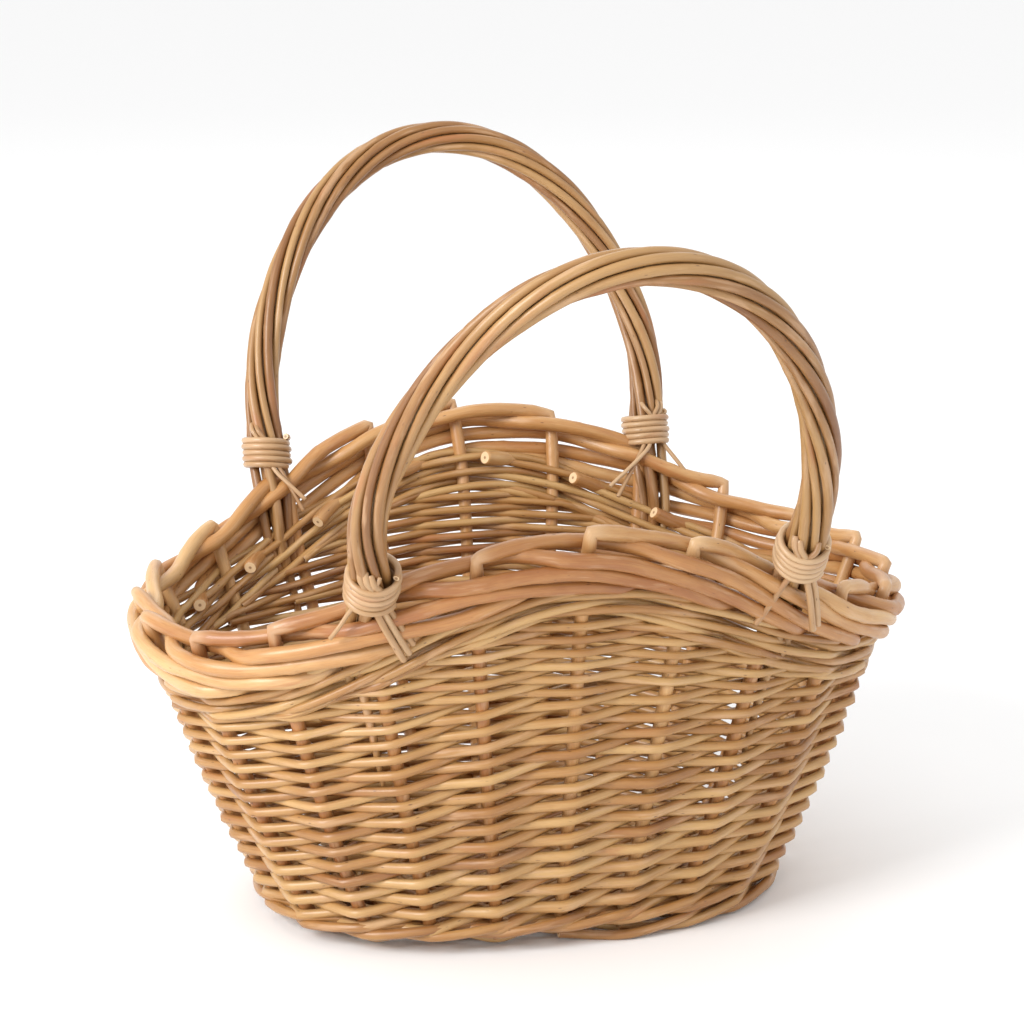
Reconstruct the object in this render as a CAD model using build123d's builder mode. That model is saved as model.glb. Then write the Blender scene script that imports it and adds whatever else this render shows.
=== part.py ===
from build123d import *
from bisect import bisect_right
from functools import lru_cache
import math
import os

os.makedirs("parts", exist_ok=True)

# Oval willow shopping basket with two fixed roped bow handles.
# Origin: centre of the underside. +X along the long axis, -Y towards the front, +Z up. Millimetres.

# ---- Wall: a flared oval, measured at the middle of its thickness ----
oval_squareness = 2.5  # exponent of the oval, 2 is an ellipse
foot_half_length = 128.5
foot_half_width = 83.0
rim_half_length = 185.5  # at the height of the two ends
rim_half_width = 124.0  # at the height of the long sides
end_height = 138.0  # top of the weave at the two ends
side_height = 200.0  # top of the weave at the middle of the long sides
crest_half_span = 198.0  # the crest has come down to end_height at this distance from the middle
wall_thickness = 14.0
wall_blank_height = 201.0  # the wall is first made this tall, then cut along the crest

# ---- Base ----
base_top = 13.5
base_bottom = 0.0
stick_height = 7.4  # centre line of every stick of the base
cross_stick_diameter = 7.0
cross_stick_places = (15.0, 44.0, 69.0)
long_stick_diameter = 5.0
long_stick_places = (-22.0, 0.0, 22.0)
stick_gap = 2.0  # the sticks end this far short of the foot wale
foot_wale_height = 15.0
foot_wale_thickness = 16.0
foot_wale_inset = 0.3

# ---- Stakes and the border that their tops are laid into ----
stake_count = 22
stake_diameter = 7.4
stake_toe = 14.0  # length of each stake's foot inside the base
border_lean = 0.38  # outward shift of the border per unit of height
border_offset = 9.1  # rods pass this far inside or outside the line of the stakes
# A rod's way through the border: intervals from its own stake, side (+1 outside), height above the weave
border_steps = (
    (0.0, 0.0, 33.0),
    (0.4, -1.0, 31.4),
    (0.75, -1.0, 27.0),
    (1.08, -1.0, 22.9),
    (1.32, -1.0, 22.4),
    (1.68, 1.0, 21.3),
    (2.05, 1.0, 17.0),
    (2.4, 1.0, 13.5),
    (2.7, 1.0, 12.4),
    (3.05, 1.0, 8.3),
    (3.36, 1.0, 4.8),
    (3.68, -1.0, 4.4),
    (3.92, -1.0, 4.4),
    (4.2, -1.0, 4.4),
)

# ---- Bands of weave ----
band_gap = 0.3
rim_gap = 0.8  # the lowest border rods lie this far above the weave
top_band_height = 12.0
arch_half_span = 150.0  # the packing rows under the crest reach this far from the middle

# ---- Handles ----
leg_interval = 2.2  # a leg stands just past the second stake from the middle, counted in intervals
leg_depth = 72.0  # how deep a leg is driven into the wall
bow_interval = 2.25  # place of the foot of a bow
leg_bend_height = 20.0  # in the border a leg passes this high above the weave
leg_bend_side = -1.0  # and this far outside the line of the stakes
handle_foot_height = 34.0  # where the bow begins, above the weave
handle_foot_side = 4.0
handle_top = 375.5
front_lean = 29.0  # degrees
back_lean = 19.5
bow_squareness = 2.05  # exponent of the outline of a bow, 2 is an ellipse
core_diameter = 7.0
strand_diameter = 4.5
strand_count = 8
strand_offset = 6.35
strand_turns = 1.6
strand_start = 5.0  # the strands begin this far above the foot of the bow
strand_stations = 25

# ---- Bindings ----
binding_start = 6.0
binding_turns = 5
binding_strip = 3.4  # width of the strip
binding_round = 1.8  # radius of its rounded face
binding_bore = 9.3

clearance = 0.15
rim_margin = 20.0  # outlines that cut the wall reach this far past it
oval_parts = 720  # steps in which the length of an oval is added up
outline_points = 40  # points that an oval's outline is drawn through
crest_parts = 16  # steps in which the line of the crest is drawn
crest_tries = 12  # rounds of finding the crest's height at a place on the slanting wall
bow_parts = 600  # steps in which the length of a bow is added up
share_step = 0.002  # step along the wall over which its direction is taken
corner_share = 0.45  # part of a straight run that the bend at its end may use up
least_turn = 0.2  # degrees, a smaller turn isn't made into a bend


def wall_axes(z):
    """Half length and half width of the wall's middle surface at a height."""
    half_length = foot_half_length + (rim_half_length - foot_half_length) * z / end_height
    half_width = foot_half_width + (rim_half_width - foot_half_width) * z / side_height
    return half_length, half_width


def oval_point(turn, half_length, half_width, z):
    """Point of an oval at an angle."""
    across, forward = math.cos(turn), math.sin(turn)
    x = math.copysign(abs(across) ** (2.0 / oval_squareness), across)
    y = math.copysign(abs(forward) ** (2.0 / oval_squareness), forward)
    return Vector(half_length * x, half_width * y, z)


def crest(x):
    """Height of the top of the weave, which rises to an arch on each long side."""
    wave = 1.0 + math.cos(math.pi * min(abs(x) / crest_half_span, 1.0))
    return end_height + (side_height - end_height) * wave / 2.0


def crest_reach(height):
    """Distance from the middle at which the crest has come down to a height."""
    share = 2.0 * (height - end_height) / (side_height - end_height) - 1.0
    return crest_half_span / math.pi * math.acos(share)


@lru_cache
def oval_lengths(half_length, half_width):
    """Running length of an oval in equal steps of angle, from the middle of the front, anticlockwise."""
    lengths = [0.0]
    before = Vector(0.0, -half_width, 0.0)
    for i in range(1, oval_parts + 1):
        after = oval_point(2.0 * math.pi * i / oval_parts - math.pi / 2.0, half_length, half_width, 0.0)
        lengths.append(lengths[-1] + (after - before).length)
        before = after
    return lengths


def turn_at(share, half_length, half_width):
    """Angle at a share of an oval's length, counted from the middle of the front, anticlockwise."""
    lengths = oval_lengths(half_length, half_width)
    wanted = (share % 1.0) * lengths[-1]
    i = min(bisect_right(lengths, wanted) - 1, oval_parts - 1)
    part = (wanted - lengths[i]) / (lengths[i + 1] - lengths[i])
    return 2.0 * math.pi * ((i + part) / oval_parts + math.floor(share)) - math.pi / 2.0


def outward(turn, half_length, half_width):
    """Unit normal of an oval at an angle."""
    flatness = 2.0 - 2.0 / oval_squareness
    across, forward = math.cos(turn), math.sin(turn)
    x = math.copysign(abs(across) ** flatness, across) / half_length
    y = math.copysign(abs(forward) ** flatness, forward) / half_width
    return Vector(x, y, 0.0).normalized()


def on_wall(share, z):
    """Point at the middle of the wall's thickness, on the line that a stake at this share follows."""
    low = turn_at(share, foot_half_length, foot_half_width)
    high = turn_at(share, rim_half_length, rim_half_width)
    turn = low + (high - low) * min(z / end_height, 1.0)
    half_length, half_width = wall_axes(z)
    return oval_point(turn, half_length, half_width, z)


def weave_top(share):
    """Point where the line at this share meets the top of the weave."""
    z = end_height
    for _ in range(crest_tries):
        z = crest(on_wall(share, z).X)
    return on_wall(share, z)


def in_border(share, height, side):
    """Point in the border: height above the weave and distance outside the line of the stakes."""
    top = weave_top(share)
    along = weave_top(share + share_step) - weave_top(share - share_step)
    slope = along.Z / math.hypot(along.X, along.Y)
    lift = height * math.hypot(1.0, slope)
    normal = Vector(along.Y, -along.X, 0.0).normalized()
    return top + normal * (side + border_lean * height) + Vector(0.0, 0.0, lift)


def bend_radii(points):
    """Radius of the bend at each corner of a route, as large as its two runs allow."""
    radii = []
    for before, corner, after in zip(points, points[1:], points[2:]):
        first, second = corner - before, after - corner
        turn = math.radians(first.get_angle(second))
        radii.append(corner_share * min(first.length, second.length) / math.tan(turn / 2.0))
    return radii


def without_straight_points(points):
    """A route less the points at which it hardly turns."""
    kept = [points[0]]
    for corner, after in zip(points[1:], points[2:]):
        if (corner - kept[-1]).get_angle(after - corner) > least_turn:
            kept.append(corner)
    return kept + [points[-1]]


def rod(points, diameter):
    """A willow rod along a route of straight runs joined by tangent bends."""
    points = without_straight_points(points)
    with BuildPart() as piece:
        with BuildLine() as route:
            FilletPolyline(*points, radius=bend_radii(points))
        with BuildSketch(Plane(origin=route.line @ 0, z_dir=route.line % 0)):
            Circle(diameter / 2.0)
        sweep()
    return piece.part


def finished(piece, name):
    """Label a finished piece and write it."""
    piece.label = name
    export_step(piece, f"parts/{name}.step")


# ---- Routes ----
def stake_route(number):
    """From the toe in the base, up through the wall, over the kink and along the border."""
    share = number / stake_count
    foot = on_wall(share, stick_height)
    inward = outward(turn_at(share, foot_half_length, foot_half_width), foot_half_length, foot_half_width)
    points = [foot - inward * stake_toe, foot]
    top = weave_top(share)
    rises = 4
    for k in range(1, rises + 1):
        points.append(on_wall(share, stick_height + (top.Z - stick_height) * k / rises))
    for steps, side, height in border_steps:
        points.append(in_border(share + steps / stake_count, height, side * border_offset))
    return points


def leg_share(side, end, interval):
    """Place round the wall of a handle leg: side -1 front or +1 back, end -1 left or +1 right."""
    from_front = end * interval / stake_count
    return from_front if side < 0 else 0.5 - from_front


def leg_route(side, end):
    """The driven part of a handle leg, from deep in the wall to the foot of the bow."""
    share = leg_share(side, end, leg_interval)
    top = weave_top(share)
    points = [on_wall(share, top.Z - depth) for depth in (leg_depth, leg_depth / 2.0, 0.0)]
    share = leg_share(side, end, bow_interval)
    points.append(in_border(share, leg_bend_height, leg_bend_side))
    points.append(in_border(share, handle_foot_height, handle_foot_side))
    return points


def bow_plane(side):
    """Plane of a bow: origin half-way between its feet, its x along the basket, its y up the leaning bow."""
    foot = leg_route(side, 1)[-1]
    lean = math.radians(front_lean if side < 0 else back_lean)
    up = Vector(0.0, side * math.sin(lean), math.cos(lean))
    return Plane(origin=(0.0, foot.Y, foot.Z), x_dir=(1.0, 0.0, 0.0), z_dir=Vector(1.0, 0.0, 0.0).cross(up))


def bow_outline(side, stations):
    """Evenly spaced points of a bow's centre line in its own plane, from the left foot to the right."""
    foot = leg_route(side, 1)[-1]
    lean = math.radians(front_lean if side < 0 else back_lean)
    rise = (handle_top - foot.Z) / math.cos(lean)
    curve = []
    for i in range(bow_parts + 1):
        angle = math.pi * (1.0 - i / bow_parts)
        across = math.copysign(abs(math.cos(angle)) ** (2.0 / bow_squareness), math.cos(angle))
        curve.append((foot.X * across, rise * abs(math.sin(angle)) ** (2.0 / bow_squareness)))
    lengths = [0.0]
    for (x0, y0), (x1, y1) in zip(curve, curve[1:]):
        lengths.append(lengths[-1] + math.hypot(x1 - x0, y1 - y0))
    points = []
    low = strand_start
    high = lengths[-1] - strand_start
    for k in range(stations):
        wanted = low + (high - low) * k / (stations - 1)
        i = max(n for n in range(bow_parts) if lengths[n] <= wanted)
        part = (wanted - lengths[i]) / (lengths[i + 1] - lengths[i])
        points.append((
            curve[i][0] + (curve[i + 1][0] - curve[i][0]) * part,
            curve[i][1] + (curve[i + 1][1] - curve[i][1]) * part,
        ))
    return points


def core_route(side):
    """One bow rod: up out of the wall, over the bow and down into the wall again."""
    plane = bow_plane(side)
    bow = [plane.from_local_coords(Vector(x, y, 0.0)) for x, y in bow_outline(side, strand_stations)]
    return leg_route(side, -1)[:-1] + bow + leg_route(side, 1)[:-1][::-1]


def strand_route(side, number):
    """One rod of the rope wrapping, a long twist round the bow."""
    plane = bow_plane(side)
    outline = bow_outline(side, strand_stations)
    points = []
    for k, (x, y) in enumerate(outline):
        before = outline[max(k - 1, 0)]
        after = outline[min(k + 1, len(outline) - 1)]
        along = Vector(after[0] - before[0], after[1] - before[1], 0.0).normalized()
        across = Vector(along.Y, -along.X, 0.0)
        angle = 2.0 * math.pi * (number / strand_count + strand_turns * k / (len(outline) - 1))
        offset = across * math.cos(angle) + Vector(0.0, 0.0, 1.0) * math.sin(angle)
        points.append(plane.from_local_coords(Vector(x, y, 0.0) + offset * strand_offset))
    return points


# ---- Pieces ----
def oval(half_length, half_width):
    """A filled oval, drawn into the sketch that is being built."""
    turns = [turn_at(k / outline_points, half_length, half_width) for k in range(outline_points)]
    with BuildLine() as outline:
        Spline(*[oval_point(turn, half_length, half_width, 0.0) for turn in turns], periodic=True)
    make_face(outline.edges())


def oval_ring(bottom, top, thickness):
    """A closed band of the wall between two heights, ring-shaped, with the wall's flare."""
    with BuildPart() as band:
        for edge, mode in ((thickness / 2.0, Mode.ADD), (-thickness / 2.0, Mode.SUBTRACT)):
            for z in (bottom, top):
                half_length, half_width = wall_axes(z)
                with BuildSketch(Plane.XY.offset(z)):
                    oval(half_length + edge, half_width + edge)
            loft(mode=mode)
    return band.part


def oval_reach(place, half_length, half_width):
    """Half the width of an oval at a place along it."""
    return half_width * (1.0 - (abs(place) / half_length) ** oval_squareness) ** (1.0 / oval_squareness)


def under_crest(drop, reach):
    """Points along the crest, a given depth below it, out to a distance from the middle."""
    places = [reach * (2.0 * k / crest_parts - 1.0) for k in range(crest_parts + 1)]
    return [(x, crest(x) - drop) for x in places]


stakes = []
channels = []
for number in range(stake_count):
    route = stake_route(number)
    stake = rod(route, stake_diameter)
    finished(stake, f"stake_{number + 1:02d}")
    in_wall = route[: len(route) - len(border_steps) + 1]
    channels.append(rod(in_wall, stake_diameter + 2.0 * clearance))

for side, name in ((-1, "front"), (1, "back")):
    finished(rod(core_route(side), core_diameter), f"handle_{name}_core")
    for number in range(strand_count):
        finished(rod(strand_route(side, number), strand_diameter), f"handle_{name}_strand_{number + 1}")
    for end in (-1, 1):
        leg = leg_route(side, end)
        deeper = leg[0] + (leg[0] - leg[1]).normalized()
        channels.append(rod([deeper] + leg[1:], core_diameter + 2.0 * clearance))

# Bindings: strip wound round the foot of each bow, a sleeve with one swelling for each turn
binding_height = binding_turns * binding_strip
for side, name in ((-1, "front"), (1, "back")):
    for end, hand in ((-1, "left"), (1, "right")):
        plane = bow_plane(side)
        foot = leg_route(side, end)[-1]
        up = plane.y_dir
        with BuildPart() as binding:
            with BuildSketch(Plane(origin=foot + up * binding_start, x_dir=(1, 0, 0), z_dir=plane.z_dir)):
                with BuildLine():
                    bottom = (binding_bore, 0.0)
                    edge = binding_bore + binding_strip / 2.0
                    Line(bottom, (edge, 0.0))
                    for k in range(binding_turns):
                        low = binding_strip * k
                        RadiusArc((edge, low), (edge, low + binding_strip), -binding_round)
                    Polyline((edge, binding_height), (binding_bore, binding_height), bottom)
                make_face()
            revolve(axis=Axis(foot, up))
        finished(binding.part, f"binding_{name}_{hand}")

# Base sticks: short cross sticks with slits, and long sticks threaded through them
cross_sticks = []
for number, x in enumerate([-x for x in reversed(cross_stick_places)] + list(cross_stick_places)):
    reach = oval_reach(x, foot_half_length, foot_half_width) - foot_wale_thickness / 2.0 - stick_gap
    with BuildPart() as cross_stick:
        with BuildSketch(Plane(origin=(x, 0.0, stick_height), z_dir=(0.0, 1.0, 0.0))):
            Circle(cross_stick_diameter / 2.0)
        extrude(amount=reach, both=True)
        for y in long_stick_places:
            with BuildSketch(Plane(origin=(x, y, stick_height), z_dir=(1.0, 0.0, 0.0))):
                Circle(long_stick_diameter / 2.0 + clearance)
            extrude(amount=cross_stick_diameter, both=True, mode=Mode.SUBTRACT)
    finished(cross_stick.part, f"base_cross_stick_{number + 1}")
    with BuildPart() as slot:
        with BuildSketch(Plane(origin=(x, 0.0, stick_height), z_dir=(0.0, 1.0, 0.0))):
            Circle(cross_stick_diameter / 2.0 + clearance)
        extrude(amount=reach + clearance, both=True)
    cross_sticks.append(slot.part)

long_sticks = []
for number, y in enumerate(long_stick_places):
    reach = oval_reach(y, foot_half_width, foot_half_length) - foot_wale_thickness / 2.0 - stick_gap
    with BuildPart() as long_stick:
        with BuildSketch(Plane(origin=(0.0, y, stick_height), z_dir=(1.0, 0.0, 0.0))):
            Circle(long_stick_diameter / 2.0)
        extrude(amount=reach, both=True)
    finished(long_stick.part, f"base_long_stick_{number + 1}")
    with BuildPart() as slot:
        with BuildSketch(Plane(origin=(0.0, y, stick_height), z_dir=(1.0, 0.0, 0.0))):
            Circle(long_stick_diameter / 2.0 + clearance)
        extrude(amount=reach + clearance, both=True)
    long_sticks.append(slot.part)

# Base weave: an oval plate of weave with a hole for each stick and each stake's toe
plate_inset = foot_wale_thickness / 2.0 + foot_wale_inset
with BuildPart() as base_weave:
    with BuildSketch(Plane.XY.offset(base_bottom)):
        oval(foot_half_length - plate_inset, foot_half_width - plate_inset)
    extrude(amount=base_top - base_bottom)
    add(cross_sticks + long_sticks + channels[:stake_count], mode=Mode.SUBTRACT)
finished(base_weave.part, "base_weave")

# Foot wale: the thick rounds of weave at the turn from base to wall. The basket stands on it
with BuildPart() as foot_wale:
    add(oval_ring(0.0, foot_wale_height, foot_wale_thickness))
    add(channels[:stake_count], mode=Mode.SUBTRACT)
finished(foot_wale.part, "foot_wale")

# The wall of weave above it, in four bands, with a channel for each stake and each handle leg
wall = oval_ring(foot_wale_height + band_gap, wall_blank_height, wall_thickness)
rim_reach = rim_half_length + wall_thickness + rim_margin
band_drop = top_band_height + band_gap
shoulder = crest(arch_half_span) - band_drop


def slice_of_wall(outline, front=True, back=True):
    """The part of the wall inside an outline drawn in the XZ plane, on one or both long sides."""
    with BuildPart() as band:
        add(wall)
        with BuildSketch(Plane.XZ):
            with BuildLine():
                outline()
            make_face()
        if front and back:
            extrude(amount=rim_reach, both=True, mode=Mode.INTERSECT)
        else:
            extrude(amount=rim_reach if front else -rim_reach, mode=Mode.INTERSECT)
        add(channels, mode=Mode.SUBTRACT)
    return band.part


def side_outline():
    points = under_crest(band_drop, rim_reach)
    left = [p for p in points if p[0] < -arch_half_span] + [(-arch_half_span, shoulder)]
    right = [(-x, z) for x, z in reversed(left)]
    Spline(*left)
    Line(left[-1], right[0])
    Spline(*right)
    Polyline(right[-1], (rim_reach, foot_wale_height), (-rim_reach, foot_wale_height), left[0])


def arch_outline():
    level = shoulder + band_gap
    reach = crest_reach(level + band_drop)
    top = under_crest(band_drop, reach)
    Spline(*top)
    Line(top[-1], top[0])


def top_outline():
    upper = under_crest(rim_gap, rim_reach)
    lower = under_crest(top_band_height, rim_reach)
    Spline(*upper)
    Line(upper[-1], lower[-1])
    Spline(*lower)
    Line(lower[0], upper[0])


finished(slice_of_wall(side_outline), "side_weave")
finished(slice_of_wall(arch_outline, back=False), "arch_weave_front")
finished(slice_of_wall(arch_outline, front=False), "arch_weave_back")
finished(slice_of_wall(top_outline), "top_weave")
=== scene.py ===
import math
from bisect import bisect_right
from functools import lru_cache

import bpy
import numpy as np
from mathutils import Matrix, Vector


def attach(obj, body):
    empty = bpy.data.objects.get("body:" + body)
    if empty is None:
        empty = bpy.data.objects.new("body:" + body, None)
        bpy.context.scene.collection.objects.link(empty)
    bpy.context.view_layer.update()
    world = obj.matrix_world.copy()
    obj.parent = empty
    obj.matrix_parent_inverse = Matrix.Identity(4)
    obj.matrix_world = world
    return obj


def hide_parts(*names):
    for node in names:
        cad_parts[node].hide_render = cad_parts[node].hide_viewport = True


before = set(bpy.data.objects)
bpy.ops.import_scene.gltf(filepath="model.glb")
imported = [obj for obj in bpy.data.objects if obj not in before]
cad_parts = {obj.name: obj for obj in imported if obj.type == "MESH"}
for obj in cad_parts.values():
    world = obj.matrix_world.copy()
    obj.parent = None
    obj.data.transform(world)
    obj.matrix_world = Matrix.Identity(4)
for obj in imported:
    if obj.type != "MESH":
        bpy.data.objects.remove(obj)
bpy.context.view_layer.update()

# Oval willow shopping basket. Lengths are worked out in millimetres, as in the CAD, and put into
# the meshes in metres. Places round the wall are shares of its length, from the middle of the
# front, anticlockwise from above.
MM = 0.001

# ---- Driving dimensions, the same as in the CAD ----
oval_squareness = 2.5
foot_half_length = 128.5
foot_half_width = 83.0
rim_half_length = 185.5
rim_half_width = 124.0
end_height = 138.0
side_height = 200.0
crest_half_span = 198.0
stick_height = 7.4
cross_stick_places = (-69.0, -44.0, -15.0, 15.0, 44.0, 69.0)
long_stick_places = (-22.0, 0.0, 22.0)
stake_count = 22
stake_toe = 14.0
border_lean = 0.38
border_offset = 8.2
border_kink = 32.0
# A rod's way along the border: intervals from its own stake, side (+1 outside), and height above
# the weave. It goes behind the next stake, in front of three, and in again
border_steps = (
    (0.35, -0.45, 30.8),
    (0.7, -0.85, 29.0),
    (1.0, -0.95, 27.0),
    (1.28, -0.75, 25.2),
    (1.55, 0.3, 23.2),
    (1.82, 0.95, 21.2),
    (2.2, 1.05, 18.4),
    (2.6, 1.0, 15.5),
    (3.0, 1.0, 12.6),
    (3.4, 1.0, 9.8),
    (3.8, 1.0, 7.0),
    (4.1, 0.95, 5.0),
    (4.36, 0.4, 4.0),
    (4.6, -0.5, 4.2),
    (4.8, -1.3, 5.2),
)
leg_interval = 2.2
bow_interval = 2.25
leg_bend_side = -1.0
handle_foot_height = 34.0
handle_foot_side = 4.0
handle_top = 375.5
front_lean = 29.0
back_lean = 19.5
bow_squareness = 2.05
strand_count = 8
strand_offset = 6.35
strand_turns = 1.6
oval_parts = 720

# ---- Rods as they are seen ----
wall_swell = 3.2  # the wall stands out a little half-way up
stake_radius = 3.5
border_radius = 3.9
border_taper = 0.04  # share of its radius that a rod loses over border_taper_length
border_taper_length = 200.0
kink_thinning = 0.16  # share of its radius that a rod loses where it is folded over
weaver_share = 0.58  # radius of a weaver as a share of the height of a row
weaver_hug = 0.62  # how far a weaver stands out from the stake, in its own radii
weave_slant = 0.17  # how far a weaver rises and falls with its swing, in heights of a row
weave_rows = 27  # a weaver lasts for this many stakes
weaver_first_row = -0.75  # it starts and ends behind a stake
weaver_last_row = weave_rows + 0.25
weave_bottom = 15.5
weave_low_top = 128.0  # top of the French randing at the ends
weave_high_top = 145.0  # and at the middle of the long sides
row_thinning = 0.09  # rows are this share higher than the mean at the foot, and lower at the top
chord_share = 0.8  # between two stakes the weave runs nearly straight
points_per_interval = 12  # along a weaver, from stake to stake
packing_pitch = 3.6
packing_share = 0.6  # radius of a packing rod as a share of the pitch
packing_rows_most = 18
packing_least = 0.02  # shortest and longest reach to each side, as shares of the wall
packing_most = 0.24
top_band = 14.0  # height kept free above the packing
wale_rods = 3
wale_round = 1.85  # height of a round of wale, in diameters of a rod
wale_dip = 0.95  # rise and fall of a rod of the wale, in its own radii
foot_wale_height = 4.4  # of its first round
foot_wale_radius = 2.6
foot_wale_outside = 1.5
top_wale_drop = 15.5  # of its first round, below the top of the weave
top_wale_radius = 2.15
weaver_unevenness = 0.3  # spread of a weaver's height and of its distance from the stake
weaver_looseness = 0.35
border_height_spread = 1.0  # seeded unevenness of the border
border_side_spread = 0.7
strand_radius_driven = 2.75  # at the end that is driven into the wall
strand_radius_far = 1.95
core_radius_end = 1.3
core_radius_growth = 3.2  # added over core_taper_length from each end
core_taper_length = 110.0
binding_turns = 5
binding_radius = 1.8
binding_pitch = 3.3
binding_start = 5.0  # height of the lowest turn above the foot of the bow
binding_around = 11.8  # from the middle of the bow to the middle of the strip
pinch_height = 42.0
base_pitch = 4.3
base_weaver = 1.95
base_rise = 4.2
base_inset = 3.2  # of the outermost round from the foot's line
stick_inset = 11.0  # the sticks end this far inside it, and the outer rounds cross the stakes' toes
cross_stick_radius = 3.2
long_stick_radius = 2.4


# ---- The basket's surfaces ----
def wall_axes(z):
    swell = wall_swell * math.sin(math.pi * min(z / end_height, 1.0))
    half_length = foot_half_length + (rim_half_length - foot_half_length) * z / end_height + swell
    half_width = foot_half_width + (rim_half_width - foot_half_width) * z / side_height + swell
    return half_length, half_width


def oval_point(turn, half_length, half_width, z=0.0):
    across, forward = math.cos(turn), math.sin(turn)
    x = math.copysign(abs(across) ** (2.0 / oval_squareness), across)
    y = math.copysign(abs(forward) ** (2.0 / oval_squareness), forward)
    return np.array((half_length * x, half_width * y, z))


def crest(x):
    wave = 1.0 + math.cos(math.pi * min(abs(x) / crest_half_span, 1.0))
    return end_height + (side_height - end_height) * wave / 2.0


@lru_cache
def oval_lengths(half_length, half_width):
    turns = [2.0 * math.pi * i / oval_parts - math.pi / 2.0 for i in range(oval_parts + 1)]
    points = np.array([oval_point(turn, half_length, half_width) for turn in turns])
    steps = np.linalg.norm(np.diff(points, axis=0), axis=1)
    return [0.0] + np.cumsum(steps).tolist()


def turn_at(share, half_length, half_width):
    lengths = oval_lengths(half_length, half_width)
    wanted = (share % 1.0) * lengths[-1]
    i = min(bisect_right(lengths, wanted) - 1, oval_parts - 1)
    part = (wanted - lengths[i]) / (lengths[i + 1] - lengths[i])
    return 2.0 * math.pi * ((i + part) / oval_parts + math.floor(share)) - math.pi / 2.0


def on_wall(share, z):
    low = turn_at(share, foot_half_length, foot_half_width)
    high = turn_at(share, rim_half_length, rim_half_width)
    turn = low + (high - low) * min(z / end_height, 1.0)
    half_length, half_width = wall_axes(z)
    return oval_point(turn, half_length, half_width, z)


@lru_cache(maxsize=20000)
def top_height(share):
    z = end_height
    for _ in range(12):
        z = crest(on_wall(share, z)[0])
    return z


def weave_top(share):
    return on_wall(share, top_height(share))


def unit(v):
    return v / np.linalg.norm(v)


def in_border(share, height, side):
    along = weave_top(share + 0.002) - weave_top(share - 0.002)
    slope = along[2] / math.hypot(along[0], along[1])
    lift = height * math.hypot(1.0, slope)
    normal = unit(np.array((along[1], -along[0], 0.0)))
    return weave_top(share) + normal * (side + border_lean * height) + np.array((0.0, 0.0, lift))


def wall_normal(share, z):
    along = on_wall(share + 0.004, z) - on_wall(share - 0.004, z)
    return unit(np.array((along[1], -along[0], 0.0)))


def between_stakes(share, z):
    """The wall's middle where the weave runs nearly straight from stake to stake."""
    place = share * stake_count
    first = math.floor(place + 1e-9)
    part = place - first
    here, there = on_wall(first / stake_count, z), on_wall((first + 1) / stake_count, z)
    chord = here * (1.0 - part) + there * part
    return on_wall(share, z) * (1.0 - chord_share) + chord * chord_share


def weave_level(row, share):
    """Height of a row of the French randing."""
    rise = (top_height(share) - end_height) / (side_height - end_height)
    top = weave_low_top + (weave_high_top - weave_low_top) * rise
    x = row / weave_rows
    return weave_bottom + (top - weave_bottom) * x * (1.0 + row_thinning * (1.0 - x))


def top_direction(share):
    """Unit vector along the top of the weave."""
    return unit(weave_top(share + 0.002) - weave_top(share - 0.002))


# ---- Rods ----
def wander(u, rng, length):
    """Smooth seeded noise along a rod, about -1 to 1."""
    total = np.zeros_like(u)
    for scale in (1.0, 0.47, 0.23):
        start = rng.uniform(0.0, 2.0 * math.pi)
        total += np.sin(2.0 * math.pi * u / (length * scale) + start) * (0.45 + 0.4 * scale)
    return total / 2.0


def evenly(line, spacing):
    """Evenly spaced points along a line of points."""
    steps = np.linalg.norm(np.diff(line, axis=0), axis=1)
    u = np.concatenate(((0.0,), np.cumsum(steps)))
    n = max(int(round(u[-1] / spacing)), 2)
    wanted = np.linspace(0.0, u[-1], n + 1)
    return np.stack([np.interp(wanted, u, line[:, k]) for k in range(3)], axis=1)


def smooth(points, spacing):
    """Evenly spaced points on the cubic B-spline of a route."""
    p = np.array(points, dtype=float)
    p = np.vstack((2.0 * p[0] - p[1], p, 2.0 * p[-1] - p[-2]))
    t = np.linspace(0.0, 1.0, 24, endpoint=False)[:, None]
    parts = []
    for i in range(len(p) - 3):
        a, b, c, d = p[i:i + 4]
        parts.append((
            (1.0 - t) ** 3 * a + (3.0 * t ** 3 - 6.0 * t ** 2 + 4.0) * b
            + (-3.0 * t ** 3 + 3.0 * t ** 2 + 3.0 * t + 1.0) * c + t ** 3 * d
        ) / 6.0)
    parts.append(p[-2][None, :])
    return evenly(np.vstack(parts), spacing)


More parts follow.
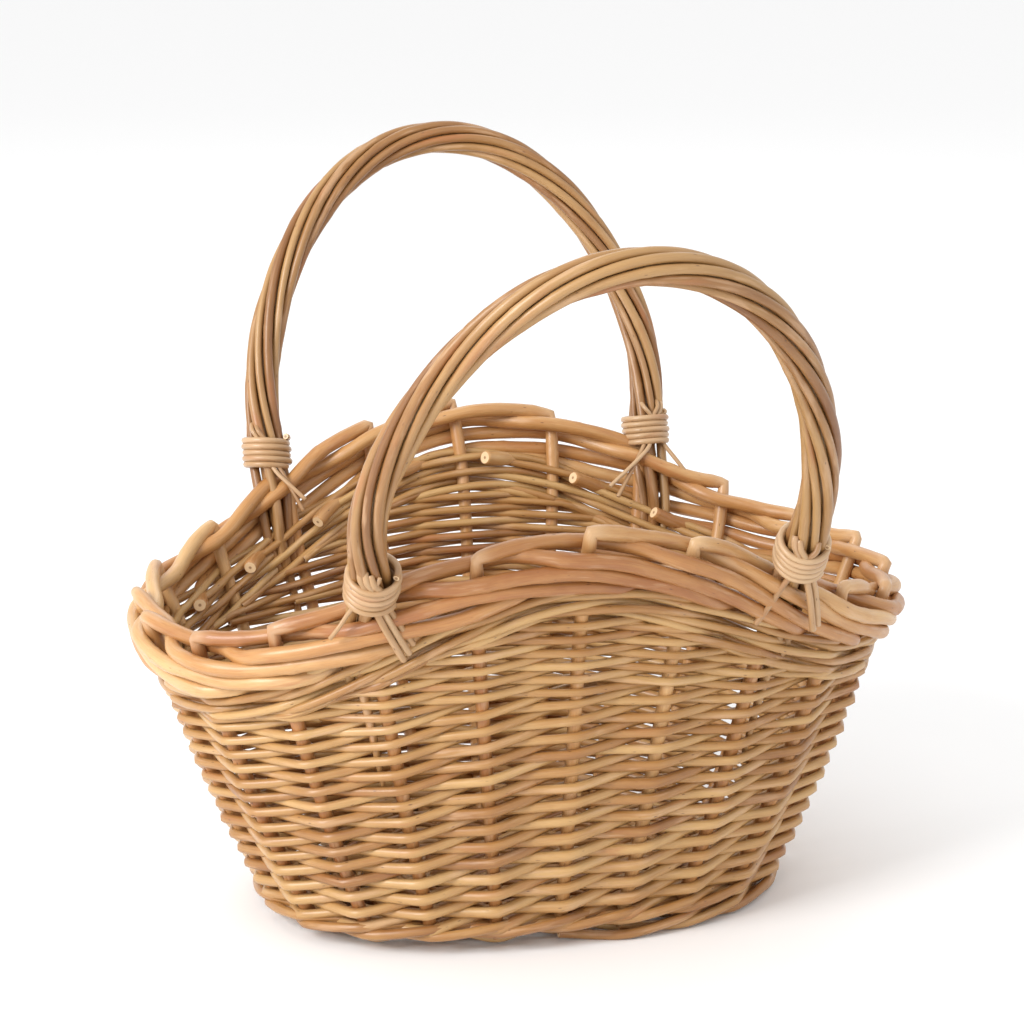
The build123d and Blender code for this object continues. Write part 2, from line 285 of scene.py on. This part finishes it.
class Bundle:
    """Rods gathered into one mesh, each with its own tone and its own straightened coordinates."""

    wander_length = 70.0
    wander_share = 0.035  # of the radius
    knot_spacing = 55.0
    knot_share = 0.07
    knot_length = 2.2
    cut_end_share = 0.86  # radius at the chamfered end

    def __init__(self, name):
        self.name = name
        self.verts, self.faces, self.flat = [], [], []
        self.space, self.tone = [], []
        self.count = 0

    def rod(self, line, radius, tone, seed, sides, pale=None, rough=1.0):
        """A rod along a line of points. radius and pale may vary along it."""
        n = len(line)
        rng = np.random.default_rng(seed)
        u = np.concatenate(((0.0,), np.cumsum(np.linalg.norm(np.diff(line, axis=0), axis=1))))
        uneven = 1.0 + self.wander_share * rough * wander(u, rng, self.wander_length)
        r = np.broadcast_to(np.asarray(radius, dtype=float), (n,)) * uneven
        for _ in range(int(u[-1] / self.knot_spacing)):
            place = rng.uniform(0.0, u[-1])
            r = r + self.knot_share * rough * r * np.exp(-((u - place) / self.knot_length) ** 2)
        tangent = np.gradient(line, axis=0)
        tangent /= np.linalg.norm(tangent, axis=1)[:, None]
        # a frame that doesn't twist along the rod
        start = np.array((0.0, 0.0, 1.0) if abs(tangent[0][2]) < 0.9 else (1.0, 0.0, 0.0))
        first = np.empty_like(line)
        normal = unit(start - tangent[0] * start.dot(tangent[0]))
        for i in range(n):
            normal = unit(normal - tangent[i] * normal.dot(tangent[i]))
            first[i] = normal
        second = np.cross(tangent, first)

        # a chamfer at each cut end
        def grow(a):
            return np.concatenate((a[:1], a[:1], a[1:-1], a[-1:], a[-1:]))

        chamfer = min(0.45, r[0] * 0.25)
        line = grow(line)
        line[1] += tangent[0] * chamfer
        line[-2] -= tangent[-1] * chamfer
        first, second, u, r = grow(first), grow(second), grow(u), grow(r)
        r[0] *= self.cut_end_share
        r[-1] *= self.cut_end_share
        fade = grow(np.zeros(n) if pale is None else np.broadcast_to(pale, (n,)))
        n += 2
        angle = np.linspace(0.0, 2.0 * math.pi, sides, endpoint=False) + rng.uniform(0.0, 6.0)
        # slightly out of round
        oval = np.sin(2.0 * angle + rng.uniform(0.0, 6.0))
        lobed = np.sin(3.0 * angle + rng.uniform(0.0, 6.0))
        lobes = 1.0 + 0.02 * rough * oval + 0.012 * rough * lobed
        c, s = np.cos(angle) * lobes, np.sin(angle) * lobes
        ring = (
            line[:, None, :] + first[:, None, :] * (r[:, None] * c)[:, :, None]
            + second[:, None, :] * (r[:, None] * s)[:, :, None]
        )
        offset = rng.uniform(0.0, 4000.0)
        space = np.stack((
            np.repeat(u[:, None] + offset, sides, axis=1), r[:, None] * c, r[:, None] * s,
        ), axis=2)
        # red holds the rod's tone, green the pale corners, blue the cut ends
        colour = np.zeros((n, sides, 4))
        colour[:, :, 0] = tone
        colour[:, :, 1] = fade[:, None]
        base = self.count
        self.verts.append(ring.reshape(-1, 3))
        self.space.append(space.reshape(-1, 3))
        self.tone.append(colour.reshape(-1, 4))
        i = np.arange(n - 1)[:, None] * sides
        j = np.arange(sides)[None, :]
        k = (j + 1) % sides
        quads = base + np.stack((i + j, i + k, i + sides + k, i + sides + j), axis=2)
        self.faces.extend(map(tuple, quads.reshape(-1, 4).tolist()))
        self.flat.extend([False] * (len(quads) * sides))
        self.count += n * sides
        for end, order in ((0, -1), (n - 1, 1)):
            self.verts.append(ring[end])
            self.space.append(space[end])
            cut = colour[end].copy()
            cut[:, 2] = 1.0
            self.tone.append(cut)
            loop = list(range(self.count, self.count + sides))
            self.faces.append(tuple(loop[::order]))
            self.flat.append(True)
            self.count += sides

    def make(self, material, slot, *nodes):
        mesh = bpy.data.meshes.new(self.name)
        verts = np.vstack(self.verts) * MM
        mesh.from_pydata(verts.tolist(), [], self.faces)
        mesh.polygons.foreach_set("use_smooth", [not f for f in self.flat])
        space = mesh.attributes.new("rod_space", "FLOAT_VECTOR", "POINT")
        space.data.foreach_set("vector", np.vstack(self.space).ravel())
        tone = mesh.attributes.new("rod_tone", "FLOAT_COLOR", "POINT")
        tone.data.foreach_set("color", np.vstack(self.tone).ravel())
        mesh.materials.append(material)
        mesh.update()
        piece = bpy.data.objects.new(self.name, mesh)
        bpy.context.scene.collection.objects.link(piece)
        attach(piece, "root")
        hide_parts(*nodes)


# ---- Willow ----
stain_colour = (0.40, 0.135, 0.045)
pale_skin_and_highlight_colour = (0.62, 0.39, 0.225)
# pale pinkish skin, also used as a painted highlight that stands in for sheen on the rods
fibre_colour = (0.25, 0.115, 0.042)
bruise_colour = (0.74, 0.52, 0.31)
speck_colour = (0.13, 0.05, 0.02)
pith_colour = (0.36, 0.20, 0.10)
cut_colour = (0.80, 0.58, 0.34)


def willow(name, dark, middle, light, roughness=0.42):
    """Peeled willow: streaks and blotches in the rod's own tone, specks, and pith at the cut ends."""
    material = bpy.data.materials.new(name)
    material.use_nodes = True
    tree = material.node_tree
    tree.nodes.clear()
    new, link = tree.nodes.new, tree.links.new

    def math_node(operation, a, b=None, c=None, clamp=False):
        node = new("ShaderNodeMath")
        node.operation = operation
        node.use_clamp = clamp
        for socket, value in zip(node.inputs, (a, b, c)):
            if value is None:
                continue
            if isinstance(value, (int, float)):
                socket.default_value = value
            else:
                link(value, socket)
        return node.outputs[0]

    def noise(vector, scale, detail=2.0, rough=0.5, distortion=0.0):
        node = new("ShaderNodeTexNoise")
        node.inputs["Scale"].default_value = scale
        node.inputs["Detail"].default_value = detail
        node.inputs["Roughness"].default_value = rough
        node.inputs["Distortion"].default_value = distortion
        link(vector, node.inputs["Vector"])
        return node.outputs["Fac"]

    def stretched(vector, along, across):
        node = new("ShaderNodeVectorMath")
        node.operation = "MULTIPLY"
        link(vector, node.inputs[0])
        node.inputs[1].default_value = (along, across, across)
        return node.outputs[0]

    def ramp(fac, stops):
        node = new("ShaderNodeValToRGB")
        elements = node.color_ramp.elements
        while len(elements) < len(stops):
            elements.new(0.5)
        for element, (position, colour) in zip(elements, stops):
            element.position = position
            element.color = (*colour, 1.0)
        link(fac, node.inputs[0])
        return node.outputs[0]

    def mix(fac, a, b):
        node = new("ShaderNodeMix")
        node.data_type = "RGBA"
        for socket, value in ((node.inputs[0], fac), (node.inputs[6], a), (node.inputs[7], b)):
            if isinstance(value, (int, float)):
                socket.default_value = value
            elif isinstance(value, tuple):
                socket.default_value = (*value, 1.0)
            else:
                link(value, socket)
        return node.outputs[2]

    def band(value, low, high):
        node = new("ShaderNodeMapRange")
        node.interpolation_type = "SMOOTHSTEP"
        node.inputs["From Min"].default_value = low
        node.inputs["From Max"].default_value = high
        link(value, node.inputs["Value"])
        return node.outputs["Result"]

    def attribute(name):
        node = new("ShaderNodeAttribute")
        node.attribute_name = name
        return node

    def channels(colour):
        node = new("ShaderNodeSeparateColor")
        link(colour, node.inputs[0])
        return node.outputs[0], node.outputs[1], node.outputs[2]

    space = attribute("rod_space").outputs["Vector"]
    tone, fade, cut = channels(attribute("rod_tone").outputs["Color"])

    blotch = noise(stretched(space, 0.022, 0.14), 1.0, 3.0, 0.55)
    patch = noise(stretched(space, 0.07, 0.3), 1.0, 2.0, 0.5)
    fibre = noise(stretched(space, 0.035, 1.6), 1.0, 4.0, 0.65, 0.3)
    fine = noise(stretched(space, 0.12, 4.5), 1.0, 3.0, 0.6)

    level = math_node("MULTIPLY_ADD", blotch, 0.85, math_node("MULTIPLY_ADD", tone, 0.8, -0.325))
    level = math_node("MULTIPLY_ADD", patch, 0.3, math_node("ADD", level, -0.15))
    level = math_node("MULTIPLY_ADD", fibre, 0.42, math_node("ADD", level, -0.21), clamp=True)
    colour = ramp(level, ((0.0, dark), (0.42, middle), (0.85, light)))
    # reddish stains of the inner bark
    stain = band(noise(stretched(space, 0.016, 0.09), 1.0, 4.0, 0.6, 0.4), 0.56, 0.72)
    colour = mix(math_node("MULTIPLY", stain, 0.5), colour, stain_colour)
    # pinkish pale skin where the scraper has gone deeper, together with painted highlight: pale
    # pinkish patches that stand in for sheen
    pale_skin_and_highlight = band(noise(stretched(space, 0.03, 0.22), 1.0, 3.0, 0.55), 0.54, 0.68)
    colour = mix(math_node("MULTIPLY", pale_skin_and_highlight, 0.4), colour, pale_skin_and_highlight_colour)
    # fine fibres
    colour = mix(math_node("MULTIPLY", band(fine, 0.5, 0.75), 0.34), colour, fibre_colour)
    # bruised pale corners
    bruise = math_node("MULTIPLY", fade, math_node("MULTIPLY_ADD", patch, 0.5, 0.35))
    colour = mix(bruise, colour, bruise_colour)
    # dark specks and small knots
    speck = new("ShaderNodeTexVoronoi")
    speck.inputs["Scale"].default_value = 1.0
    link(stretched(space, 0.13, 0.42), speck.inputs["Vector"])
    near = math_node("SUBTRACT", 1.0, band(speck.outputs["Distance"], 0.05, 0.17))
    dot = math_node("MULTIPLY", near, band(channels(speck.outputs["Color"])[0], 0.72, 0.75))
    colour = mix(math_node("MULTIPLY", dot, 0.75), colour, speck_colour)
    # pith at the cut ends
    reach = new("ShaderNodeVectorMath")
    reach.operation = "LENGTH"
    link(stretched(space, 0.0, 1.0), reach.inputs[0])
    end_grain = mix(band(reach.outputs["Value"], 0.5, 1.1), pith_colour, cut_colour)
    colour = mix(cut, colour, end_grain)

    shader = new("ShaderNodeBsdfPrincipled")
    link(colour, shader.inputs["Base Color"])
    rough_value = math_node("MULTIPLY_ADD", fibre, 0.22, roughness - 0.11)
    rough_value = math_node("MULTIPLY_ADD", cut, 0.25, rough_value, clamp=True)
    link(rough_value, shader.inputs["Roughness"])
    shader.inputs["Specular IOR Level"].default_value = 0.45
    shader.inputs["Coat Weight"].default_value = 0.35
    shader.inputs["Coat Roughness"].default_value = 0.25
    height = math_node("MULTIPLY_ADD", fibre, 0.5, math_node("MULTIPLY", fine, 0.5))
    height = math_node("MULTIPLY_ADD", dot, -0.6, height)
    bump = new("ShaderNodeBump")
    bump.inputs["Strength"].default_value = 0.5
    bump.inputs["Distance"].default_value = 0.00035
    link(height, bump.inputs["Height"])
    link(bump.outputs["Normal"], shader.inputs["Normal"])
    output = new("ShaderNodeOutputMaterial")
    link(shader.outputs[0], output.inputs[0])
    return material


# dark, middle and light of each kind of rod
weaver_willow = willow(
    "weaver_willow", (0.23, 0.086, 0.021), (0.38, 0.182, 0.053), (0.53, 0.318, 0.122))
stake_willow = willow(
    "stake_willow", (0.33, 0.123, 0.034), (0.49, 0.237, 0.077), (0.64, 0.392, 0.170))
handle_willow = willow(
    "handle_willow", (0.18, 0.064, 0.016), (0.30, 0.139, 0.041), (0.42, 0.238, 0.090))
binding_willow = willow(
    "binding_willow", (0.27, 0.125, 0.05), (0.41, 0.23, 0.10), (0.56, 0.37, 0.205), 0.38)
base_willow = willow(
    "base_willow", (0.27, 0.11, 0.04), (0.40, 0.21, 0.08), (0.52, 0.32, 0.15))


def tone_of(seed, middle=0.5, spread=0.28):
    rng = np.random.default_rng(seed + 7000)
    return float(np.clip(rng.normal(middle, spread), 0.0, 1.0))


# ---- Weave of the wall ----
def swing(t, sharpness=0.985):
    """Side to side once in two stakes: +1 over the even ones, -1 behind the odd ones."""
    return math.asin(sharpness * math.cos(math.pi * t)) / math.asin(sharpness)


def beside_stakes(share, z, side):
    """Point at a distance outside the middle of the weave."""
    return between_stakes(share, z) + wall_normal(share, z) * side


def randing_rod(bundle, start, seed):
    """One weaver of the French randing, over one stake and under the next, from stake start on."""
    rng = np.random.default_rng(seed)
    jitter_z = rng.normal(0.0, weaver_unevenness, weave_rows + 4)
    jitter_s = rng.normal(0.0, weaver_looseness, weave_rows + 4)
    line, radii = [], []
    thick = 1.0 + rng.normal(0.0, 0.03)
    count = int(round((weaver_last_row - weaver_first_row) * points_per_interval))
    for i in range(count + 1):
        t = i / points_per_interval
        row = weaver_first_row + t
        share = (start + row) / stake_count
        here = int(t)
        part = t - here
        ease = part * part * (3.0 - 2.0 * part)
        dz = jitter_z[here] * (1.0 - ease) + jitter_z[here + 1] * ease
        ds = jitter_s[here] * (1.0 - ease) + jitter_s[here + 1] * ease
        pitch = weave_level(row + 0.5, share) - weave_level(row - 0.5, share)
        r = weaver_share * pitch * thick * (1.05 - 0.1 * t / weave_rows)
        z = weave_level(row, share) - pitch * weave_slant * swing(row) + dz
        side = swing(row) * (stake_radius + r * weaver_hug) + ds
        line.append(beside_stakes(share, z, side))
        radii.append(r)
    bundle.rod(np.array(line), np.array(radii), tone_of(seed, 0.52, 0.3), seed, sides=8)


seed = 100
groups = 6  # this many pieces together replace the CAD node side_weave
bundles = [Bundle(f"side_weave_{k + 1}") for k in range(groups)]
for start in range(stake_count):
    seed += 1
    randing_rod(bundles[start * groups // stake_count], start, seed)
for bundle in bundles:
    bundle.make(weaver_willow, "weaver_willow", "side_weave")


# ---- The packing under the crest of each long side ----
def packing_level(k, share):
    """Height of a packing row above the foot."""
    return weave_level(weave_rows, share) + (k + 0.55) * packing_pitch


for side, name in ((0.0, "front"), (0.5, "back")):
    bundle = Bundle(f"arch_weave_{name}")
    for k in range(packing_rows_most):
        seed += 1
        reach = 0.0
        while reach < packing_most:
            if packing_level(k, side + reach) >= top_height(side + reach) - top_band + 2.5:
                break
            reach += 0.001
        if reach < packing_least:
            break
        # the ends lie inside the basket, behind a stake
        first_end = math.floor((side - reach) * stake_count)
        last_end = math.ceil((side + reach) * stake_count)
        first_end -= (first_end + k + 1) % 2
        last_end += (last_end + k + 1) % 2
        line = []
        radius = packing_pitch * packing_share
        for i in range((last_end - first_end) * points_per_interval + 1):
            share = (first_end + i / points_per_interval) / stake_count
            sway = swing(share * stake_count + k)
            z = min(packing_level(k, share), top_height(share) - top_band + 2.0)
            z -= packing_pitch * weave_slant * sway
            line.append(beside_stakes(share, z, sway * (stake_radius + radius * weaver_hug)))
        bundle.rod(np.array(line), radius, tone_of(seed, 0.5, 0.25), seed, sides=8)
    bundle.make(weaver_willow, "weaver_willow", f"arch_weave_{name}")


# ---- Waling: three rods, each in front of two stakes and behind one ----
def waling(name, level, intervals, radius, seed, outside=0.0):
    """level(share) is the height of the first round. Rods start and end behind a stake."""
    bundle = Bundle(name)
    for number in range(wale_rods):
        seed += 1
        line = []
        for i in range(intervals * points_per_interval + 1):
            place = i / points_per_interval + number
            share = place / stake_count
            angle = 2.0 * math.pi * ((place - number) / wale_rods)
            swing_out = 0.35 - math.cos(angle) * 0.95
            swing_out = max(min(swing_out, 1.0), -1.0) * 0.5 + swing_out * 0.5
            z = level(share) + share * 2.0 * radius * wale_round
            z -= wale_dip * radius * math.sin(angle)
            side = swing_out * (stake_radius + radius * 0.75) + outside
            line.append(beside_stakes(share, z, side))
        bundle.rod(np.array(line), radius, tone_of(seed, 0.5, 0.2), seed, sides=8)
    bundle.make(weaver_willow, "weaver_willow", name)


def foot_wale_level(share):
    return foot_wale_height


def top_wale_level(share):
    return top_height(share) - top_wale_drop


waling("foot_wale", foot_wale_level, 24, foot_wale_radius, 900, foot_wale_outside)
waling("top_weave", top_wale_level, 66, top_wale_radius, 920)


# ---- Stakes and border ----
def stake_kink(number):
    """Where a stake is bent over into the border. No two stand quite alike."""
    rng = np.random.default_rng(4100 + number)
    place = (number + rng.normal(0.0, 0.045)) / stake_count
    return in_border(place, border_kink + rng.uniform(-2.4, 1.6), rng.normal(0.0, 0.6))


def stake_route(number):
    share = number / stake_count
    foot = on_wall(share, stick_height)
    outward = wall_normal(share, stick_height)
    points = [foot - outward * stake_toe, foot - outward * 3.0, foot]
    top = top_height(share)
    rises = 4
    for k in range(1, rises + 1):
        points.append(on_wall(share, stick_height + (top - stick_height) * k / rises))
    kink = stake_kink(number)
    steps, side, height = border_steps[0]
    onward = in_border(share + steps / stake_count, height, side * border_offset)
    points.append(kink + unit(points[-1] - kink) * 5.0)
    points += [kink, kink]
    points.append(kink + unit(onward - kink) * 4.0)
    rng = np.random.default_rng(4000 + number)
    for steps, side, height in border_steps:
        height += rng.normal(0.0, border_height_spread)
        side = side * border_offset + rng.normal(0.0, border_side_spread)
        points.append(in_border(share + steps / stake_count, height, side))
    return points


stake_spacing = 2.2
for number in range(stake_count):
    line = smooth(stake_route(number), stake_spacing)
    at = int(np.argmin(np.linalg.norm(line - stake_kink(number), axis=1)))
    u = np.arange(len(line)) * stake_spacing
    from_kink = u - u[at]
    along_border = np.clip(from_kink, 0.0, border_taper_length)
    radii = np.where(from_kink < 0, stake_radius, border_radius)
    radii = radii * (1.0 - border_taper * along_border / border_taper_length)
    radii = radii * (1.0 - kink_thinning * np.exp(-(from_kink / 5.0) ** 2))
    pale = 0.6 * np.exp(-(from_kink / 6.0) ** 2)
    name, seed = f"stake_{number + 1:02d}", 300 + number
    bundle = Bundle(name)
    bundle.rod(line, radii, tone_of(seed, 0.42, 0.22), seed, sides=14, pale=pale)
    bundle.make(stake_willow, "stake_willow", name)


# ---- Handles ----
def leg_share(side, end, interval):
    from_front = end * interval / stake_count
    return from_front if side < 0 else 0.5 - from_front


def bow_frame(side):
    foot = in_border(leg_share(side, 1, bow_interval), handle_foot_height, handle_foot_side)
    lean = math.radians(front_lean if side < 0 else back_lean)
    up = np.array((0.0, side * math.sin(lean), math.cos(lean)))
    right = np.array((1.0, 0.0, 0.0))
    return foot, lean, up, right, np.cross(right, up)


def bow_outline(foot, lean, stations):
    """Across and up the bow, at evenly spaced stations from its left foot to its right one."""
    rise = (handle_top - foot[2]) / math.cos(lean)
    angle = np.linspace(math.pi, 0.0, 1201)
    c, s = np.cos(angle), np.sin(angle)
    x = foot[0] * np.sign(c) * np.abs(c) ** (2.0 / bow_squareness)
    y = rise * np.abs(s) ** (2.0 / bow_squareness)
    u = np.concatenate(((0.0,), np.cumsum(np.hypot(np.diff(x), np.diff(y)))))
    wanted = np.linspace(0.0, u[-1], stations)
    return np.interp(wanted, u, x), np.interp(wanted, u, y)


stations = 161
# How far each bow is drawn in at its foot
bow_pinch = {
    ("front", "left"): 12.0, ("front", "right"): 6.0,
    ("back", "left"): 5.0, ("back", "right"): 9.0,
}
# Tails of each binding: way they go (+1 to the right), reach along the basket, drop, radius
binding_tails = {
    ("front", "left"): (
        (1, 13.0, 24.0, 1.75), (1, 12.0, 21.0, 1.75), (1, 11.0, 17.0, 1.7), (-1, 9.0, 12.0, 1.1)),
    ("front", "right"): ((1, 6.0, 26.0, 1.75), (1, 5.0, 24.0, 1.7), (-1, 12.0, 22.0, 1.5)),
    ("back", "left"): ((1, 14.0, 16.0, 1.2), (1, 9.0, 22.0, 1.2)),
    ("back", "right"): ((-1, 26.0, 20.0, 1.2), (-1, 18.0, 26.0, 1.2), (1, 8.0, 14.0, 1.2)),
}
for side, name in ((-1, "front"), (1, "back")):
    foot, lean, up, right, out = bow_frame(side)
    x, y = bow_outline(foot, lean, stations)
    drawn_in = np.exp(-(y / pinch_height) ** 2)
    x = x + drawn_in * np.where(x < 0.0, bow_pinch[name, "left"], -bow_pinch[name, "right"])
    origin = np.array((0.0, foot[1], foot[2]))
    middle = origin + x[:, None] * right + y[:, None] * up
    along = np.gradient(middle, axis=0)
    along /= np.linalg.norm(along, axis=1)[:, None]
    across = np.cross(along, out)

    def driven(end, height, along_wall=0.0, sideways=0.0):
        """Point of a leg below the foot of the bow, at a height above the weave."""
        share = leg_share(side, end, bow_interval if height > 0.0 else leg_interval)
        if height > 0.0:
            base = in_border(share, height, leg_bend_side + sideways)
        else:
            base = on_wall(share, top_height(share) + height)
            base = base + wall_normal(share, 150.0) * sideways
        drawn = bow_pinch[name, "left" if end < 0 else "right"]
        drawn = drawn * max(height, 0.0) / handle_foot_height
        return base + top_direction(share) * along_wall - right * end * drawn

    low = (20.0, 0.0, -30.0, -66.0)
    core = [driven(-1, h) for h in low][::-1] + list(middle[2:-2:4]) + [driven(1, h) for h in low]
    core_spacing = 3.0
    line = smooth(core, core_spacing)
    from_end = np.minimum(np.arange(len(line)), np.arange(len(line))[::-1]) * core_spacing
    radii = core_radius_end + core_radius_growth * np.clip(from_end / core_taper_length, 0.0, 1.0)
    bundle = Bundle(f"handle_{name}_core")
    bundle.rod(line, radii, tone_of(500 + side, 0.4), 500 + side, sides=12)
    bundle.make(handle_willow, "handle_willow", f"handle_{name}_core")

    # Strands twisted round the core, driven in on the left and on the right by turns
    k = np.linspace(0.0, 1.0, stations)
    offset = strand_offset + 0.4 + 1.5 * (np.exp(-k * 9.0) + np.exp(-(1.0 - k) * 9.0))
    for number in range(strand_count):
        seed = 520 + side * 10 + number
        angle = 2.0 * math.pi * (number / strand_count + strand_turns * k)
        aside = across * np.cos(angle)[:, None] + out * np.sin(angle)[:, None]
        strand = middle + aside * offset[:, None]
        points = list(strand[3:-3:4])
        leg_left = number % 2 == 0
        end, aside = (-1, aside[0]) if leg_left else (1, aside[-1])
        share = leg_share(side, end, bow_interval)
        a, b = float(aside.dot(top_direction(share))), float(aside.dot(wall_normal(share, 190.0)))
        leg = []
        for height, wide, deep in ((22.0, 9.0, 6.0), (8.0, 8.0, 3.0), (-11.0, 6.0, 0.5)):
            leg.append(driven(end, height, a * wide, b * deep))
        line = smooth(leg[::-1] + points if leg_left else points + leg, 2.4)
        radii = np.linspace(strand_radius_driven, strand_radius_far, len(line))
        if not leg_left:
            radii = np.linspace(strand_radius_far, strand_radius_driven, len(line))
        bundle = Bundle(f"handle_{name}_strand_{number + 1}")
        bundle.rod(line, radii, tone_of(seed, 0.5, 0.36), seed, sides=12)
        bundle.make(handle_willow, "handle_willow", f"handle_{name}_strand_{number + 1}")

    # Bindings: five turns of strip, and the tails that hang out below them
    for end, hand in ((-1, "left"), (1, "right")):
        seed = 700 + side * 20 + end
        rng = np.random.default_rng(seed)
        share = leg_share(side, end, bow_interval)
        foot_here = in_border(share, handle_foot_height, handle_foot_side)
        foot_here = foot_here - right * end * bow_pinch[name, hand]
        bundle = Bundle(f"binding_{name}_{hand}")

        def round_foot(height, radius, angle):
            about = right * radius * math.cos(angle) + out * radius * math.sin(angle)
            return foot_here + up * height + about

        phase = rng.uniform(0.0, 6.0)
        line = []
        for i in range(binding_turns * 40 + 1):
            turn = i / 40.0
            angle = 2.0 * math.pi * turn + 0.6
            height = binding_start + binding_pitch * turn + 0.9 * math.sin(angle + phase)
            radius = binding_around + 0.35 * math.sin(3.1 * turn + phase)
            line.append(round_foot(height, radius, angle))
        tone = tone_of(seed, 0.6, 0.1)
        bundle.rod(np.array(line), binding_radius, tone, seed, sides=8, rough=0.6)
        # each tail comes slantwise from above, runs under the turns and hangs out below them
        for number, (way, reach, drop, thickness) in enumerate(binding_tails[name, hand]):
            line = []
            for height, radius, turn in (
                (29.0 - number, 9.0, 1.0), (25.0 - number, 12.4, 0.8), (20.0, 10.6, 0.5),
                (12.0, 10.2, 0.2), (5.0, 10.6, -0.05), (0.5, 12.6, -0.2),
            ):
                angle = math.pi / 2.0 + way * (turn - 0.3 * number)
                line.append(round_foot(height, radius, angle))
            line.append(line[-1] + right * way * reach * 0.5 - up * drop * 0.5 + out * 3.5)
            line.append(line[-2] + right * way * reach - up * drop + out * 5.0)
            seed += 100
            tone = tone_of(seed, 0.6, 0.15)
            bundle.rod(smooth(line, 1.5), thickness, tone, seed, sides=8, rough=0.6)
        bundle.make(binding_willow, "binding_willow", f"binding_{name}_{hand}")


# ---- Base ----
def oval_reach(x, half_length, half_width):
    left = max(1.0 - (abs(x) / half_length) ** oval_squareness, 0.0)
    return half_width * left ** (1.0 / oval_squareness)


def base_stick(name, start, end, radius, seed):
    bundle = Bundle(name)
    line = evenly(np.array(((*start, stick_height), (*end, stick_height))), 3.0)
    bundle.rod(line, radius, tone_of(seed, 0.4), seed, sides=12)
    bundle.make(base_willow, "base_willow", name)


for number, x in enumerate(cross_stick_places):
    name, seed = f"base_cross_stick_{number + 1}", 800 + number
    reach = oval_reach(x, foot_half_length - stick_inset, foot_half_width - stick_inset)
    base_stick(name, (x, -reach), (x, reach), cross_stick_radius, seed)
for number, y in enumerate(long_stick_places):
    name, seed = f"base_long_stick_{number + 1}", 810 + number
    reach = oval_reach(y, foot_half_width - stick_inset, foot_half_length - stick_inset)
    base_stick(name, (-reach, y), (reach, y), long_stick_radius, seed)

# Rounds of weave from the foot inwards, each over one stick and under the next
bundle = Bundle("base_weave")
least_half_width = 2.5
turns = np.linspace(0.0, 2.0 * math.pi, oval_parts + 1)
ring = 0
while foot_half_width - (base_inset + ring * base_pitch) >= least_half_width:
    inset = base_inset + ring * base_pitch
    half_length = foot_half_length - inset
    half_width = foot_half_width - inset
    ring += 1
    oval = np.array([oval_point(turn, half_length, half_width, stick_height) for turn in turns])
    line = evenly(oval, 1.5)
    n = len(line)
    crossings = set()
    if inset < stick_inset:
        for number in range(stake_count):
            away = np.linalg.norm(line - on_wall(number / stake_count, stick_height), axis=1)
            crossings.add(int(np.argmin(away)))
    else:
        for axis, places in ((0, cross_stick_places), (1, long_stick_places)):
            for place in places:
                away = line[:, axis] - place
                crossings.update(int(i) for i in np.flatnonzero(away[:-1] * away[1:] < 0.0))
    crossings = sorted(crossings)
    if len(crossings) > 2:
        around = np.array([crossings[-1] - n] + crossings + [crossings[0] + n])
        count = np.interp(np.arange(n), around, np.arange(len(around)))
        line[:, 2] += base_rise * np.array([swing(t + ring, 0.9) for t in count])
    bundle.rod(line, base_weaver, tone_of(860 + ring, 0.45), 860 + ring, sides=8)
bundle.make(weaver_willow, "weaver_willow", "base_weave")


# ---- Camera, floor and light ----
azimuth, elevation, distance = math.radians(-14.46), math.radians(15.85), 1.507
target = Vector((0.0, 0.0, 0.200))
level_out = math.cos(elevation)
away = Vector((math.sin(azimuth) * level_out, -math.cos(azimuth) * level_out, math.sin(elevation)))
camera_data = bpy.data.cameras.new("camera")
camera_data.lens = 101.9
camera_data.sensor_width = 36.0
camera_data.shift_x = -0.0062
camera_data.shift_y = 0.0105
camera = bpy.data.objects.new("camera", camera_data)
camera.location = target + away * distance
camera.rotation_euler = (-away).to_track_quat("-Z", "Y").to_euler()
bpy.context.scene.collection.objects.link(camera)
bpy.context.scene.camera = camera

floor_mesh = bpy.data.meshes.new("floor")
floor_mesh.from_pydata([(-6, -6, 0), (6, -6, 0), (6, 6, 0), (-6, 6, 0)], [], [(0, 1, 2, 3)])
floor = bpy.data.objects.new("floor", floor_mesh)
floor_material = bpy.data.materials.new("floor")
floor_material.use_nodes = True
floor_shader = floor_material.node_tree.nodes["Principled BSDF"]
floor_shader.inputs["Base Color"].default_value = (0.93, 0.93, 0.93, 1.0)
floor_shader.inputs["Roughness"].default_value = 0.9
floor_mesh.materials.append(floor_material)
bpy.context.scene.collection.objects.link(floor)


def area_light(name, place, size, power, aim=(0.0, 0.0, 0.18)):
    data = bpy.data.lights.new(name, "AREA")
    data.shape = "SQUARE"
    data.size = size
    data.energy = power
    light = bpy.data.objects.new(name, data)
    light.location = place
    light.rotation_euler = (Vector(aim) - Vector(place)).to_track_quat("-Z", "Y").to_euler()
    bpy.context.scene.collection.objects.link(light)


area_light("key", (-1.5, -0.7, 1.1), 0.8, 30.0)
area_light("fill", (1.6, -1.4, 1.0), 1.6, 2.0)
area_light("rim", (0.4, 1.8, 1.6), 1.2, 5.0)
world = bpy.data.worlds.new("world")
world.use_nodes = True
background = world.node_tree.nodes["Background"]
background.inputs["Color"].default_value = (1.0, 1.0, 1.0, 1.0)
background.inputs["Strength"].default_value = 1.0
bpy.context.scene.world = world
bpy.context.scene.view_settings.view_transform = "Standard"
